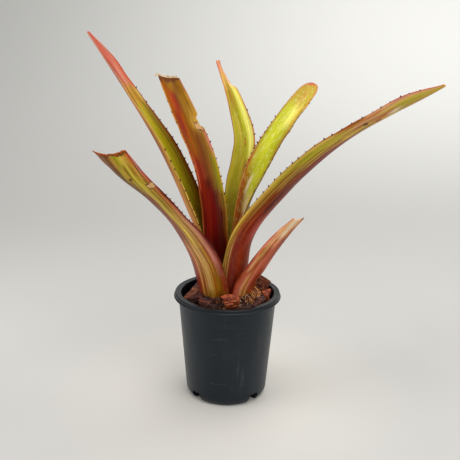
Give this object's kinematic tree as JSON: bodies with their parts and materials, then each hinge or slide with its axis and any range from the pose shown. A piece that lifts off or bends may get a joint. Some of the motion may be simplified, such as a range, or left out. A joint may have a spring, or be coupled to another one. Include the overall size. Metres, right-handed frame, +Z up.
{
  "type": "potted bromeliad",
  "caption": "Strap-leaved bromeliad with spiny margins on a short stem, growing in bark mix in a tapered nursery pot with a rolled rim.",
  "frame": {"origin": "centre of the pot's flat underside, where it rests", "axes": "+Z up along the pot's axis; +X towards the long right-hand leaf; -Y towards the front, where the short cut leaves lean out"},
  "size_m": [0.3545, 0.2198, 0.3997],
  "materials": {
    "pot_plastic": "satin, dusty and lightly scuffed",
    "potting_mix": "rough, damp crumbs",
    "stem": "rough, fibrous",
    "leaf_coral_olive": "satin, olive inside, coral towards the tip, scaly",
    "leaf_gold_striped": "satin, brown-red with lengthways gold stripes",
    "leaf_rust": "glossy dark red inside, gold right margin",
    "leaf_lime": "satin lime green with a pale yellow band",
    "leaf_bright_green": "satin bright green with whitish scales",
    "leaf_maroon_striped": "satin, olive above and maroon below, striped lengthways",
    "leaf_brick": "satin orange to brick red",
    "bark_brown": "rough, split bark",
    "bark_orange": "rough, split bark, freshly broken"
  },
  "bodies": {
    "root": {"pot": "pot_plastic", "potting_mix": "potting_mix", "short_stem": "stem", "leaf_upper_left": "leaf_coral_olive", "leaf_lower_left_cut": "leaf_gold_striped", "leaf_back_left_cut": "leaf_rust", "leaf_back_centre": "leaf_lime", "leaf_upper_right": "leaf_bright_green", "leaf_long_right": "leaf_maroon_striped", "leaf_lower_right_short": "leaf_brick", "bark_chip_01": "bark_orange", "bark_chip_02": "bark_orange", "bark_chip_03": "bark_orange", "bark_chip_04": "bark_brown", "bark_chip_05": "bark_brown", "bark_chip_06": "bark_brown", "bark_chip_07": "bark_brown", "bark_chip_08": "bark_orange", "bark_chip_09": "bark_brown", "bark_chip_10": "bark_brown", "bark_chip_11": "bark_brown", "bark_chip_12": "bark_brown", "bark_chip_13": "bark_brown", "bark_chip_14": "bark_brown", "bark_chip_15": "bark_brown"}
  },
  "joints": []
}
